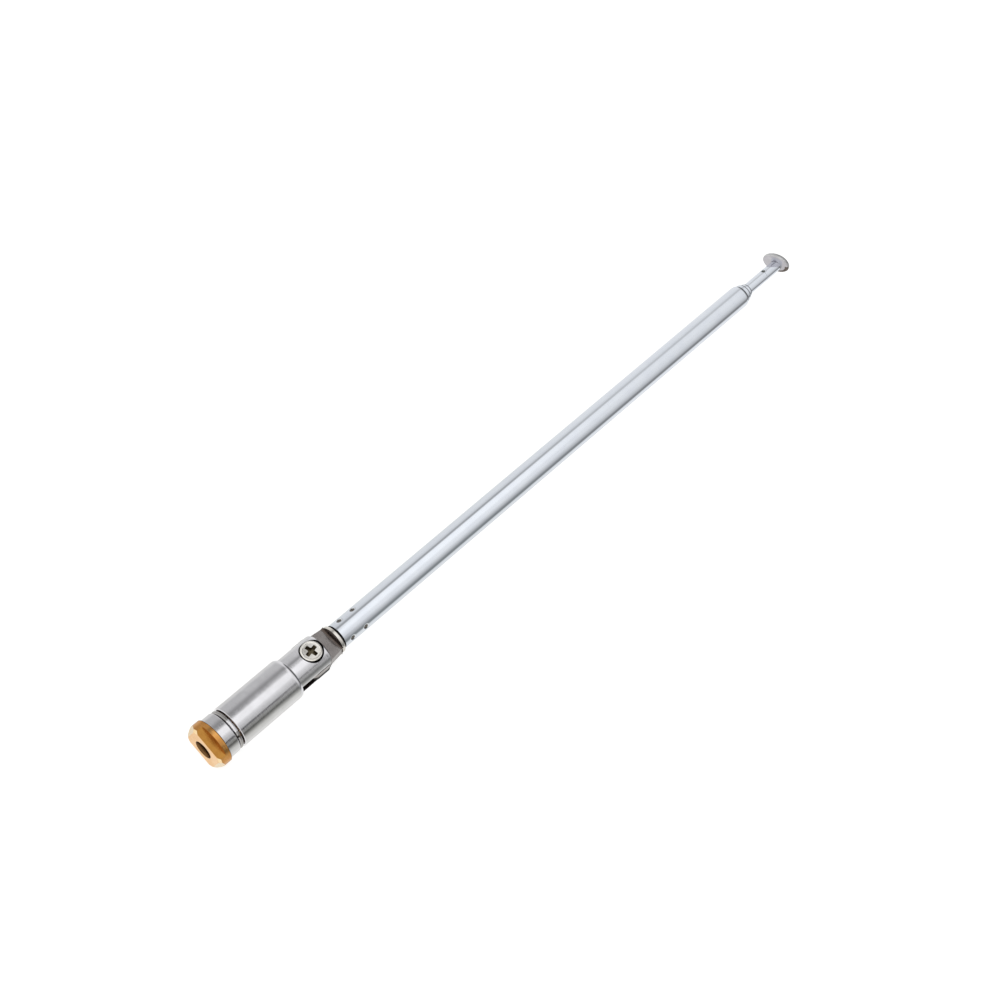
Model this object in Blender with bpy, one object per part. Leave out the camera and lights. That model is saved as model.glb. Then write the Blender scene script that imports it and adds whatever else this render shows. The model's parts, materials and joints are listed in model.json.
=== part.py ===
"""Telescopic whip antenna: turning threaded base, folding knuckle and four sliding sections.

The antenna lies along +X, from the brass base to the tip cap, with +Z up. Sizes are in
millimetres, and "along" is the distance from the brass face; meshes are scaled to metres as
they are made. The origin is under the middle of the whole antenna, on the surface it lies on.
"""

import math

import bmesh
import bpy
from mathutils import Matrix, Vector

MM = 0.001
SEGMENTS = 24  # flats round a turned surface, one of them facing straight down
SMALL_SEGMENTS = 16
WIRE_SEGMENTS = 8
GAP = 0.05  # left between two pieces that touch on the real antenna
SMOOTH_ANGLE = math.radians(35)

# Brass insert: flange with two flats and two bevels across them, shank and the swaged head
# that keeps the bush on it; distances of flats and bevels are from the antenna's axis
FACE_RADIUS = 4.8
FACE_CHAMFER = 0.5
FLAT_DISTANCE = 3.75
FLAT_LENGTH = 1.9
BEVEL_DISTANCE = 4.05
BEVEL_LENGTH = 1.3
FLAT_TURNS_DEG = (120.0, 300.0)
BEVEL_TURNS_DEG = (30.0, 210.0)
FLANGE_RADIUS = 5.4
FLANGE_END = 3.1
SHANK_RADIUS = 3.0
SWAGE_RADIUS = 3.9
SWAGE_START = 11.5
INSERT_END = 12.5
THREAD_MOUTH_RADIUS = 2.1
THREAD_MOUTH_DEPTH = 0.45
THREAD_BORE_RADIUS = 1.65
THREAD_DEPTH = 9.5
DRILL_POINT = 0.9

# Base collar and the split ring that the sleeve turns against
SLEEVE_RADIUS = 4.95
COLLAR_END = 5.85
RING_WIRE_RADIUS = 0.5
RING_RADIUS = 4.32
RING_SPLIT_DEG = 7.0
RING_SPLIT_ELEVATION_DEG = 27.0

# Sleeve with the bush and the wave washer inside it
COLLAR_SPIGOT_RADIUS = 3.75
SLEEVE_START = 7.25
SLEEVE_END = 24.1
SLEEVE_BORE = 4.45
SLEEVE_EDGE = 0.15
SHOULDER_ROUND = 1.0
LIP_LENGTH = 0.5
BUSH_LENGTH = 3.3
WASHER_THICKNESS = 0.25
WASHER_WAVE = 0.18
WASHER_WAVES = 3

# Fork: shank inside the sleeve, neck, slot and ears
NECK_RADIUS = 4.33
FORK_START = 13.5
FORK_STEP = 23.45
PIVOT_ALONG = 30.4
EAR_REACH = 2.9
EAR_EDGE = 0.4
EAR_CORNER = 1.8
SLOT_START = 23.2
SLOT_WIDTH = 2.8
SWIVEL_REST_DEG = 12.0  # how far the pivot leans from upright about the antenna's axis

# Pivot screw, its counterbore and its spring washer; heights are from the antenna's axis
COUNTERBORE_RADIUS = 2.75
COUNTERBORE_FLOOR = 2.45
SCREW_HEAD_RADIUS = 2.42
SCREW_HEAD_BOTTOM = 2.85
SCREW_HEAD_TOP = 4.2
SCREW_DOME = 0.18
SCREW_RADIUS = 1.25
SCREW_END = -3.7
SCREW_HOLE_RADIUS = 1.36
CROSS_LENGTH = 3.1
CROSS_WIDTH = 0.85
CROSS_DEPTH = 1.0
CROSS_TURN_DEG = 10.0
PIVOT_WASHER_THICKNESS = 0.25
PIVOT_WASHER_RADIUS = 2.3

# Knuckle: flat tongue, round rim and the spigot inside the first tube; half widths of the
# tongue are given where it enters the slot, at the ear tips and where it meets the rim
TONGUE_THICKNESS = 2.5
TONGUE_BLANK = 3.4
TONGUE_END_RADIUS = 4.5
TONGUE_HALF_WIDTHS = (4.2, 3.6, 3.25)
TONGUE_REACHES = (1.6, 3.0, 6.3)
MILL_FILLET = 0.6
RIM_START = 37.0
RIM_RADIUS = 3.42
RIM_END = 37.8
RIM_EDGE = 0.2
RIM_ALLOWANCE = 0.1
SPIGOT_END = 47.0

# Tubes: outer radius, wall and the place of each mouth
TUBE_RADII = (3.0, 2.5, 2.0)
TUBE_WALL = 0.25
MOUTH_ALONG = (186.0, 187.5, 188.8)
MOUTH_ROUND = (1.4, 0.5, 0.5)
MOUTH_LENGTH = 0.9

# Sliding sections: the plug on each inner end, with its contact spring in a groove
PLUG_START = (53.0, 61.5, 69.0)
PLUG_FRONT = (58.0, 66.0, 73.5)
PLUG_SLACK = 0.1
PLUG_SPIGOT = 3.0
GROOVE_START = 1.3
GROOVE_LENGTH = 1.8
GROOVE_DEPTH = 0.4
SPRING_SPLIT_DEG = 20.0
SPRING_SIDE_GAP = 0.1

# Last section and tip
ROD_RADIUS = 1.5
ROD_END = 196.3
ROD_HOLE_RADIUS = 1.1
ROD_HOLE_DEPTH = 3.5
CAP_FOOT = 202.2
CAP_RADIUS = 3.7
CAP_UNDERSIDE_RADIUS = 3.4
CAP_RIM = 0.5
CAP_DOME = 1.75
CAP_SEAT_DEPTH = 0.9
CAP_TILT_DEG = 25.0
CAP_TILT_ELEVATION_DEG = 59.0
CAP_OFFSET = (0.26, 0.15)

METALS = {
    "brass": ((0.78, 0.52, 0.20), 0.28),
    "satin_steel": ((0.60, 0.60, 0.62), 0.32),
    "nickel": ((0.48, 0.45, 0.43), 0.25),
    "chrome": ((0.82, 0.84, 0.86), 0.10),
    "screw_steel": ((0.66, 0.62, 0.55), 0.30),
    "spring_bronze": ((0.70, 0.42, 0.24), 0.35),
}


def remove_everything():
    for old in list(bpy.data.objects):
        bpy.data.objects.remove(old, do_unlink=True)


def metal(name):
    """A metal's material, made once and shared by every piece of that metal."""
    found = bpy.data.materials.get(name)
    if found:
        return found
    colour, roughness = METALS[name]
    made = bpy.data.materials.new(name)
    made.use_nodes = True
    shader = made.node_tree.nodes["Principled BSDF"]
    shader.inputs["Base Color"].default_value = (*colour, 1.0)
    shader.inputs["Metallic"].default_value = 1.0
    shader.inputs["Roughness"].default_value = roughness
    return made


def arc(centre, radii, start_deg, end_deg, steps):
    """Points (along, radius) on an elliptical arc; 0 degrees points along +X, 90 outwards."""
    points = []
    for k in range(steps + 1):
        angle = math.radians(start_deg + (end_deg - start_deg) * k / steps)
        along = centre[0] + radii[0] * math.cos(angle)
        points.append((along, centre[1] + radii[1] * math.sin(angle)))
    return points


def prism(name, outline, low, high, material, joint, matrix):
    """A straight-sided solid: its outline lies in the matrix's XY plane, low to high along Z."""
    bm = bmesh.new()
    base = bm.faces.new([bm.verts.new((x, y, low)) for x, y in outline])
    grown = bmesh.ops.extrude_face_region(bm, geom=[base])["geom"]
    top = [item for item in grown if isinstance(item, bmesh.types.BMVert)]
    bmesh.ops.translate(bm, vec=(0, 0, high - low), verts=top)
    return piece(name, bm, material, joint, matrix)


def rectangle(x_low, x_high, y_low, y_high):
    return [(x_low, y_low), (x_high, y_low), (x_high, y_high), (x_low, y_high)]


def turned(name, outline, material, joint, segments=SEGMENTS, matrix=None):
    """A body turned about X from its outline of (along, radius) points."""
    bm = bmesh.new()
    half_flat = Matrix.Rotation(math.pi / segments, 3, "X")
    corners = [bm.verts.new(half_flat @ Vector((along, 0, -radius))) for along, radius in outline]
    edges = []
    for here, there in zip(corners, corners[1:] + corners[:1]):
        if here.co.yz.length + there.co.yz.length > 0:
            edges.append(bm.edges.new((here, there)))
    axis = {"cent": (0, 0, 0), "axis": (1, 0, 0), "angle": 2 * math.pi}
    bmesh.ops.spin(bm, geom=edges, steps=segments, use_merge=True, **axis)
    bmesh.ops.remove_doubles(bm, verts=bm.verts, dist=1e-4)
    return piece(name, bm, material, joint, matrix)


def split_ring(name, outline, material, joint, split_deg, split_at_deg):
    """A ring with a gap in it; split_at_deg is the gap's place, from +Y towards +Z."""
    bm = bmesh.new()
    loops = []
    for k in range(SEGMENTS + 1):
        angle = math.radians(split_at_deg + split_deg / 2 + (360 - split_deg) * k / SEGMENTS)
        across, up = math.cos(angle), math.sin(angle)
        loops.append([bm.verts.new((along, r * across, r * up)) for along, r in outline])
    for here, there in zip(loops, loops[1:]):
        for k in range(len(outline)):
            after = (k + 1) % len(outline)
            bm.faces.new((here[k], here[after], there[after], there[k]))
    bm.faces.new(loops[0])
    bm.faces.new(loops[-1])
    return piece(name, bm, material, joint)


def piece(name, bm, material, joint, matrix=None):
    """Turn a bmesh in millimetres from the brass face into an object on its joint's empty."""
    if matrix:
        bmesh.ops.transform(bm, matrix=matrix, verts=bm.verts)
    bmesh.ops.recalc_face_normals(bm, faces=bm.faces)
    bmesh.ops.scale(bm, vec=(MM, MM, MM), verts=bm.verts)
    mesh = bpy.data.meshes.new(name)
    bm.to_mesh(mesh)
    bm.free()
    mesh.shade_smooth()
    mesh.set_sharp_from_angle(angle=SMOOTH_ANGLE)
    mesh.materials.append(metal(material))
    made = bpy.data.objects.new(name, mesh)
    bpy.context.scene.collection.objects.link(made)
    made.parent = joint
    made.location.x = -joint["along"] * MM
    return made


def combine(made, tool, operation="DIFFERENCE"):
    """Cut a piece with a tool, or join the tool to it, and leave the tool out of the model."""
    tool.hide_render = True
    tool.display_type = "WIRE"
    step = made.modifiers.new(tool.name, "BOOLEAN")
    step.solver = "EXACT"
    step.operation = operation
    step.object = tool


def joint_empty(name, along, carrier=None):
    """An empty on a joint's axis, carried by the one before it."""
    empty = bpy.data.objects.new(name, None)
    bpy.context.scene.collection.objects.link(empty)
    empty["along"] = along
    if carrier:
        empty.parent = carrier
        empty.location.x = (along - carrier["along"]) * MM
    else:
        empty.location = (-TIP_ALONG / 2 * MM, 0, AXIS_HEIGHT * MM)
    return empty


def threaded_insert(joint):
    outline = [
        (0, THREAD_MOUTH_RADIUS),
        (0, FACE_RADIUS),
        (FACE_CHAMFER, FLANGE_RADIUS),
        (FLANGE_END, FLANGE_RADIUS),
        (FLANGE_END, SHANK_RADIUS),
        (SWAGE_START, SHANK_RADIUS),
        (SWAGE_START, SWAGE_RADIUS),
        (INSERT_END, SWAGE_RADIUS),
        (INSERT_END, 0),
        (THREAD_DEPTH + DRILL_POINT, 0),
        (THREAD_DEPTH, THREAD_BORE_RADIUS),
        (THREAD_MOUTH_DEPTH, THREAD_BORE_RADIUS),
    ]
    insert = turned("threaded_insert", outline, "brass", joint)
    clear = 2 * FLANGE_RADIUS
    flat = rectangle(-1, FLAT_LENGTH, FLAT_DISTANCE, clear)
    slope = (FLANGE_RADIUS - BEVEL_DISTANCE) / BEVEL_LENGTH
    low, high = -1, 2 * BEVEL_LENGTH
    bevel = [(low, BEVEL_DISTANCE + slope * low), (high, BEVEL_DISTANCE + slope * high)]
    bevel += [(high, clear), (low, clear)]
    for turns, waste in ((FLAT_TURNS_DEG, flat), (BEVEL_TURNS_DEG, bevel)):
        for turn_deg in turns:
            turn = Matrix.Rotation(math.radians(turn_deg), 4, "X")
            combine(insert, prism("face_waste", waste, -clear, clear, "brass", joint, turn))


def base_collar(joint):
    start = FLANGE_END + GAP
    outline = [
        (start, SHANK_RADIUS + GAP),
        (start, SLEEVE_RADIUS),
        (COLLAR_END - SLEEVE_EDGE, SLEEVE_RADIUS),
        (COLLAR_END, SLEEVE_RADIUS - SLEEVE_EDGE),
        (COLLAR_END, COLLAR_SPIGOT_RADIUS),
        (SLEEVE_START, COLLAR_SPIGOT_RADIUS),
        (SLEEVE_START, SHANK_RADIUS + GAP),
    ]
    turned("base_collar", outline, "satin_steel", joint)


def swivel_ring(joint):
    centre = ((COLLAR_END + SLEEVE_START) / 2, RING_RADIUS)
    wire = arc(centre, (RING_WIRE_RADIUS, RING_WIRE_RADIUS), 0, 360, WIRE_SEGMENTS)[:-1]
    split_at = 180 - RING_SPLIT_ELEVATION_DEG
    split_ring("swivel_ring", wire, "satin_steel", joint, RING_SPLIT_DEG, split_at)


def swivel_bush(joint):
    start = SLEEVE_START + GAP
    ring = [
        (start, SHANK_RADIUS + GAP),
        (start, SLEEVE_BORE - GAP),
        (start + BUSH_LENGTH, SLEEVE_BORE - GAP),
        (start + BUSH_LENGTH, SHANK_RADIUS + GAP),
    ]
    turned("swivel_bush", ring, "brass", joint)


def wave_washer(joint):
    middle = (SLEEVE_START + GAP + BUSH_LENGTH + SWAGE_START) / 2
    low, high = middle - WASHER_THICKNESS / 2, middle + WASHER_THICKNESS / 2
    inner, outer = SHANK_RADIUS + 2 * GAP, SWAGE_RADIUS
    flat = [(low, inner), (low, outer), (high, outer), (high, inner)]
    washer = turned("wave_washer", flat, "spring_bronze", joint)
    for vertex in washer.data.vertices:
        round_axis = math.atan2(vertex.co.z, vertex.co.y)
        vertex.co.x += WASHER_WAVE * MM * math.cos(WASHER_WAVES * round_axis)


def outer_sleeve(joint):
    lip = NECK_RADIUS + GAP
    centre = (SLEEVE_END - SHOULDER_ROUND, lip)
    shoulder = arc(centre, (SHOULDER_ROUND, SLEEVE_RADIUS - lip), 90, 0, 4)
    outline = [
        (SLEEVE_START, SLEEVE_BORE),
        (SLEEVE_START, SLEEVE_RADIUS - SLEEVE_EDGE),
        (SLEEVE_START + SLEEVE_EDGE, SLEEVE_RADIUS),
        *shoulder,
        (SLEEVE_END - LIP_LENGTH, lip),
        (SLEEVE_END - LIP_LENGTH, SLEEVE_BORE),
    ]
    turned("outer_sleeve", outline, "satin_steel", joint)


def fork(joint):
    tip = PIVOT_ALONG + EAR_REACH
    edge = arc((tip - EAR_EDGE, NECK_RADIUS - EAR_EDGE), (EAR_EDGE, EAR_EDGE), 90, 0, 2)
    outline = [
        (FORK_START, 0),
        (FORK_START, SLEEVE_BORE - GAP - EAR_EDGE),
        (FORK_START + EAR_EDGE, SLEEVE_BORE - GAP),
        (FORK_STEP, SLEEVE_BORE - GAP),
        (FORK_STEP, NECK_RADIUS),
        *edge,
        (tip, 0),
    ]
    body = turned("fork", outline, "satin_steel", joint)
    clear = 2 * NECK_RADIUS
    slot = rectangle(SLOT_START - PIVOT_ALONG, clear, -clear, clear)
    half = SLOT_WIDTH / 2
    combine(body, prism("slot_waste", slot, -half, half, "satin_steel", joint, ROLL_FRAME))
    reach, side = EAR_REACH - EAR_CORNER, NECK_RADIUS - EAR_CORNER
    corners = [
        (reach, clear),
        *arc((reach, side), (EAR_CORNER, EAR_CORNER), 90, 0, 5),
        *arc((reach, -side), (EAR_CORNER, EAR_CORNER), 0, -90, 5),
        (reach, -clear),
        (clear, -clear),
        (clear, clear),
    ]
    combine(body, prism("ear_waste", corners, -clear, clear, "satin_steel", joint, ROLL_FRAME))
    hole = [(-clear, 0), (-clear, SCREW_HOLE_RADIUS)]
    hole += [(COUNTERBORE_FLOOR, SCREW_HOLE_RADIUS), (COUNTERBORE_FLOOR, COUNTERBORE_RADIUS)]
    hole += [(clear, COUNTERBORE_RADIUS), (clear, 0)]
    combine(body, turned("screw_hole_waste", hole, "satin_steel", joint, SEGMENTS, PIVOT_FRAME))


def pivot_screw(joint):
    outline = [
        (SCREW_END, 0),
        (SCREW_END, SCREW_RADIUS - 0.2),
        (SCREW_END + 0.2, SCREW_RADIUS),
        (SCREW_HEAD_BOTTOM, SCREW_RADIUS),
        (SCREW_HEAD_BOTTOM, SCREW_HEAD_RADIUS),
        (SCREW_HEAD_TOP - SCREW_DOME, SCREW_HEAD_RADIUS),
        (SCREW_HEAD_TOP, SCREW_HEAD_RADIUS - SCREW_DOME),
        (SCREW_HEAD_TOP, 0),
    ]
    screw = turned("pivot_screw", outline, "screw_steel", joint, SMALL_SEGMENTS, PIVOT_FRAME)
    half, reach = CROSS_WIDTH / 2, CROSS_LENGTH / 2
    cross = []
    for quarter in range(4):
        turn = Matrix.Rotation(math.radians(90 * quarter + CROSS_TURN_DEG), 2)
        for corner in ((reach, -half), (reach, half), (half, half)):
            cross.append(turn @ Vector(corner))
    bottom = SCREW_HEAD_TOP - CROSS_DEPTH
    waste = prism("cross_waste", cross, bottom, SCREW_HEAD_TOP + 1, "brass", joint, ROLL_FRAME)
    combine(screw, waste)


def pivot_spring_washer(joint):
    low = COUNTERBORE_FLOOR + GAP
    high = low + PIVOT_WASHER_THICKNESS
    inner = SCREW_RADIUS + 2 * GAP
    outer = PIVOT_WASHER_RADIUS
    ring = [(low, inner), (low, outer), (high, outer), (high, inner)]
    name = "pivot_spring_washer"
    turned(name, ring, "spring_bronze", joint, SMALL_SEGMENTS, PIVOT_FRAME)


def knuckle(joint):
    spigot = TUBE_RADII[0] - TUBE_WALL - GAP
    rim_blank = RIM_START - RIM_ALLOWANCE
    outline = [
        (rim_blank, 0),
        (rim_blank, RIM_RADIUS),
        (RIM_END - RIM_EDGE, RIM_RADIUS),
        (RIM_END, RIM_RADIUS - RIM_EDGE),
        (RIM_END, spigot),
        (SPIGOT_END - RIM_EDGE, spigot),
        (SPIGOT_END, spigot - RIM_EDGE),
        (SPIGOT_END, 0),
    ]
    body = turned("knuckle", outline, "nickel", joint)

    side = math.degrees(math.asin(TONGUE_HALF_WIDTHS[0] / TONGUE_END_RADIUS))
    radii = (TONGUE_END_RADIUS, TONGUE_END_RADIUS)
    upper_side = list(zip(TONGUE_REACHES, TONGUE_HALF_WIDTHS))
    upper_side.append((RIM_START + RIM_ALLOWANCE - PIVOT_ALONG, TONGUE_HALF_WIDTHS[-1]))
    lower_side = [(reach, -half) for reach, half in upper_side]
    tongue = arc((0, 0), radii, 180 - side, 180 + side, 8) + lower_side + upper_side[::-1]
    half = TONGUE_BLANK / 2
    combine(body, prism("tongue", tongue, -half, half, "nickel", joint, ROLL_FRAME), "UNION")

    clear = 2 * RIM_RADIUS
    face, wall = TONGUE_THICKNESS / 2, RIM_START - PIVOT_ALONG
    fillet = arc((wall - MILL_FILLET, face + MILL_FILLET), (MILL_FILLET, MILL_FILLET), -90, 0, 3)
    mill = [(-clear, face), *fillet, (wall, clear), (-clear, clear)]
    for name, turn_deg in (("upper_mill_waste", 90), ("lower_mill_waste", -90)):
        frame = ROLL_FRAME @ Matrix.Rotation(math.radians(turn_deg), 4, "X")
        combine(body, prism(name, mill, -clear, clear, "nickel", joint, frame))
    hole = [(-clear, 0), (-clear, SCREW_HOLE_RADIUS), (clear, SCREW_HOLE_RADIUS), (clear, 0)]
    name = "pivot_hole_waste"
    combine(body, turned(name, hole, "nickel", joint, SMALL_SEGMENTS, PIVOT_FRAME))


def mouth_radius(section):
    """Inside radius of a tube's mouth, a running fit on the section that slides through it."""
    sliding = (*TUBE_RADII, ROD_RADIUS)[section + 1]
    return sliding + GAP


def tube(section, joint):
    """Tube 1, 2 or 3 (section 0, 1 or 2), open at the inner end and closed in at the mouth."""
    radius, mouth = TUBE_RADII[section], MOUTH_ALONG[section]
    bore, lip, rounding = radius - TUBE_WALL, mouth_radius(section), MOUTH_ROUND[section]
    start = (RIM_END if section == 0 else PLUG_FRONT[section - 1]) + GAP
    drop = radius - lip - GAP
    outline = [
        (start, bore),
        (start, radius),
        *arc((mouth - rounding, radius - drop), (rounding, drop), 90, 0, 4),
        (mouth, lip),
        (mouth - MOUTH_LENGTH / 2, lip),
        (mouth - MOUTH_LENGTH, bore),
    ]
    turned(f"tube_{section + 1}", outline, "chrome", joint)


def end_plug(section, joint):
    """The bush on a sliding section's inner end, and the split spring ring in its groove."""
    bore = TUBE_RADII[section] - TUBE_WALL
    outer = bore - PLUG_SLACK
    floor = outer - GROOVE_DEPTH
    start, front = PLUG_START[section], PLUG_FRONT[section]
    groove, groove_end = start + GROOVE_START, start + GROOVE_START + GROOVE_LENGTH
    last = section == len(TUBE_RADII) - 1
    spigot = ROD_HOLE_RADIUS - GAP if last else TUBE_RADII[section + 1] - TUBE_WALL - GAP
    outline = [
        (start, 0),
        (start, outer),
        (groove, outer),
        (groove, floor),
        (groove_end, floor),
        (groove_end, outer),
        (front, outer),
        (front, spigot),
        (front + PLUG_SPIGOT, spigot),
        (front + PLUG_SPIGOT, 0),
    ]
    number = section + 2
    turned(f"end_plug_{number}", outline, "brass", joint)
    low, high = groove + SPRING_SIDE_GAP, groove_end - SPRING_SIDE_GAP
    inside, outside = floor + GAP, bore - GAP
    ring = [(low, inside), (low, outside), (high, outside), (high, inside)]
    name = f"contact_spring_{number}"
    split_ring(name, ring, "spring_bronze", joint, SPRING_SPLIT_DEG, 90)


def rod(joint):
    start = PLUG_FRONT[-1] + GAP
    outline = [
        (start, ROD_HOLE_RADIUS),
        (start, ROD_RADIUS),
        (ROD_END, ROD_RADIUS),
        (ROD_END, ROD_HOLE_RADIUS),
        (ROD_END - ROD_HOLE_DEPTH, ROD_HOLE_RADIUS),
        (ROD_END - ROD_HOLE_DEPTH, 0),
        (start + ROD_HOLE_DEPTH, 0),
        (start + ROD_HOLE_DEPTH, ROD_HOLE_RADIUS),
    ]
    turned("rod_4", outline, "chrome", joint)


def tip_cap(joint):
    spigot = ROD_HOLE_RADIUS - GAP
    stem = [
        (ROD_END - PLUG_SPIGOT, 0),
        (ROD_END - PLUG_SPIGOT, spigot),
        (ROD_END + GAP, spigot),
        (ROD_END + GAP, ROD_RADIUS),
        (CAP_FOOT + CAP_SEAT_DEPTH, ROD_RADIUS),
        (CAP_FOOT + CAP_SEAT_DEPTH, 0),
    ]
    cap = turned("tip_cap", stem, "chrome", joint)
    head = [
        (0, 0),
        (0, CAP_UNDERSIDE_RADIUS),
        (CAP_RIM / 2, CAP_RADIUS - 0.1),
        *arc((CAP_RIM, 0), (CAP_DOME, CAP_RADIUS), 90, 0, 7)[:-1],
        (CAP_RIM + CAP_DOME, 0),
    ]
    elevation = math.radians(CAP_TILT_ELEVATION_DEG)
    hinge = Vector((0, -math.sin(elevation), math.cos(elevation)))
    tilt = Matrix.Rotation(math.radians(CAP_TILT_DEG), 4, hinge)
    frame = Matrix.Translation((CAP_FOOT, *CAP_OFFSET)) @ tilt
    combine(cap, turned("cap_head", head, "chrome", joint, SEGMENTS, frame), "UNION")


AXIS_HEIGHT = FLANGE_RADIUS * math.cos(math.pi / SEGMENTS)
CAP_TILT = math.radians(CAP_TILT_DEG)
TIP_ALONG = CAP_FOOT + CAP_RIM * math.cos(CAP_TILT)
TIP_ALONG += math.hypot(CAP_DOME * math.cos(CAP_TILT), CAP_RADIUS * math.sin(CAP_TILT))
ROLL = Matrix.Rotation(math.radians(SWIVEL_REST_DEG), 4, "X")
ROLL_FRAME = Matrix.Translation((PIVOT_ALONG, 0, 0)) @ ROLL
PIVOT_FRAME = ROLL_FRAME @ Matrix.Rotation(math.radians(-90), 4, "Y")


def main():
    remove_everything()
    mount = joint_empty("mount_body", 0)
    swivel = joint_empty("swivel_axis", SLEEVE_START, mount)
    fold = joint_empty("fold_axis", PIVOT_ALONG, swivel)
    slides = [fold]
    for section in range(len(TUBE_RADII)):
        slides.append(joint_empty(f"slide_axis_{section + 2}", PLUG_START[section], slides[-1]))

    threaded_insert(mount)
    base_collar(mount)
    swivel_ring(mount)
    swivel_bush(swivel)
    wave_washer(swivel)
    outer_sleeve(swivel)
    fork(swivel)
    pivot_screw(swivel)
    pivot_spring_washer(swivel)
    knuckle(fold)
    for section in range(len(TUBE_RADII)):
        tube(section, slides[section])
        end_plug(section, slides[section + 1])
    rod(slides[-1])
    tip_cap(slides[-1])


main()
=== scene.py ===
"""Looks of the telescopic whip antenna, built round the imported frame.

Pieces are drawn in millimetres along the antenna from its brass face, with the antenna's axis as
zero across and up, and are put in the row frame as they are made. Each one replaces its CAD node
and rides on the same body. Ends and radii come from the CAD nodes' boxes and joints, and the sizes
that a box doesn't show repeat those of the CAD.
"""

import json
import math

import bmesh
import bpy
from mathutils import Matrix, Quaternion, Vector

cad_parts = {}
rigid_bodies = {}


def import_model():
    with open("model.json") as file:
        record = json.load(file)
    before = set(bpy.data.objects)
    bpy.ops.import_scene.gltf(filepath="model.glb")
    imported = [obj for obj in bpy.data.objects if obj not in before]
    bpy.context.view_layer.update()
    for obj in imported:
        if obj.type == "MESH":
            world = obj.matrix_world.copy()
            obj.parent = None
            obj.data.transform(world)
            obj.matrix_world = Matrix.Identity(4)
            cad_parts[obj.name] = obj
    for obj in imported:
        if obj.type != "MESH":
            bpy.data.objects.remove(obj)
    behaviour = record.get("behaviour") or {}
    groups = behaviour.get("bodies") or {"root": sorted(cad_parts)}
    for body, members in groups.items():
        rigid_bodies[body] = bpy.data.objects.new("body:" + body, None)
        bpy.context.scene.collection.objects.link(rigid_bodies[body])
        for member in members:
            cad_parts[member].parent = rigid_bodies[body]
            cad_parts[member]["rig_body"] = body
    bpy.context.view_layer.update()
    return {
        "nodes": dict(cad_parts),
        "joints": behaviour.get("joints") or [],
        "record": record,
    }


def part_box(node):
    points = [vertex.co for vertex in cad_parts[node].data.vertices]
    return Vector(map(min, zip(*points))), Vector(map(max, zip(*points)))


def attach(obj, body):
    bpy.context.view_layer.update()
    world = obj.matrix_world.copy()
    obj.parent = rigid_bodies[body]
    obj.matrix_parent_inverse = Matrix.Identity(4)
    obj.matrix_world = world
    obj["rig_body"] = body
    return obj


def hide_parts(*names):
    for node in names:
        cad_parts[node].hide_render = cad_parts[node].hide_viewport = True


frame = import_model()

MM = 0.001
ROUND = 96  # sides of a turned piece
HOLE_ROUND = 64
SMALL_HOLE_ROUND = 48
CAD_ROUND = 24
ARC_STEPS = 12
SMOOTH_ANGLE = math.radians(32)
FACE_WEIGHT = 100  # how far the larger faces decide the normals of a smooth edge
WELD = 1e-4  # mm within which two vertices are one
TOUCH = 0.01  # mm within which a face counts as lying on a surface
CORNER_SHARE = 0.45  # the most of a side that one rounded corner takes up
INSERT_LOW, INSERT_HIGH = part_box("threaded_insert")
AXIS_HEIGHT = (INSERT_LOW.z + INSERT_HIGH.z) / 2
PLACE = Matrix.Translation((INSERT_LOW.x, 0, AXIS_HEIGHT)) @ Matrix.Scale(MM, 4)
JOINTS = {joint["name"]: joint for joint in frame["joints"]}


def span(node):
    """Where a CAD node starts and ends along the antenna, in mm from the brass face."""
    low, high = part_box(node)
    return (low.x - INSERT_LOW.x) / MM, (high.x - INSERT_LOW.x) / MM


def half_width(node):
    """Half of a CAD node's width, in mm."""
    low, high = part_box(node)
    return (high.y - low.y) / 2 / MM


def radius_of(node):
    """The radius that a turned CAD node's corners stand on, in mm."""
    return half_width(node) / math.cos(math.pi / CAD_ROUND)


PIVOT_ALONG = (JOINTS["fold"]["pos_m"][0] - INSERT_LOW.x) / MM
PIVOT_AXIS = Vector(JOINTS["fold"]["axis"])
LEAN = math.atan2(-PIVOT_AXIS.y, PIVOT_AXIS.z)
ROLL_FRAME = Matrix.Translation((PIVOT_ALONG, 0, 0)) @ Matrix.Rotation(LEAN, 4, "X")
PIVOT_FRAME = ROLL_FRAME @ Matrix.Rotation(math.radians(-90), 4, "Y")

# Radii
FLANGE_RADIUS = half_width("threaded_insert")
SLEEVE_RADIUS = radius_of("outer_sleeve")
NECK_RADIUS = 4.33
TUBE_RADII = tuple(radius_of(f"tube_{number}") for number in (1, 2, 3))
ROD_RADIUS = radius_of("rod_4")
GAP = 0.05

# Brass insert
FACE_RADIUS = 4.8
FACE_CHAMFER = 0.5
FLAT_DISTANCE = 3.75
FLAT_LENGTH = 1.9
BEVEL_DISTANCE = 4.05
BEVEL_LENGTH = 1.3
FLAT_TURNS_DEG = (120.0, 300.0)
BEVEL_TURNS_DEG = (30.0, 210.0)
FLANGE_END = 3.1
SHANK_RADIUS = 3.0
SWAGE_RADIUS = 3.9
SWAGE_LENGTH = 1.0
INSERT_EDGE = 0.08
FLANGE_EDGE = 0.15
SWAGE_EDGES = (0.2, 0.3)
THREAD_MOUTH_EDGE = 0.05
THREAD_RUN_IN = 0.3
THREAD_RUN_OUT = 0.6
THREAD_RADIUS = 2.0
THREAD_CREST_RADIUS = 1.65
THREAD_PITCH = 0.7
THREAD_STEPS = 48  # per turn
THREAD_FLANK_SHARE = 0.42  # half of the ridge's foot and half of its crest, of the pitch
THREAD_CREST_SHARE = 0.07
THREAD_SINK = 0.08
THREAD_END_SHARE = 0.15  # of the ridge's height, at its two ends
THREAD_DEPTH = 9.5
THREAD_MOUTH_RADIUS = 2.25
DRILL_POINT = 0.9

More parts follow.
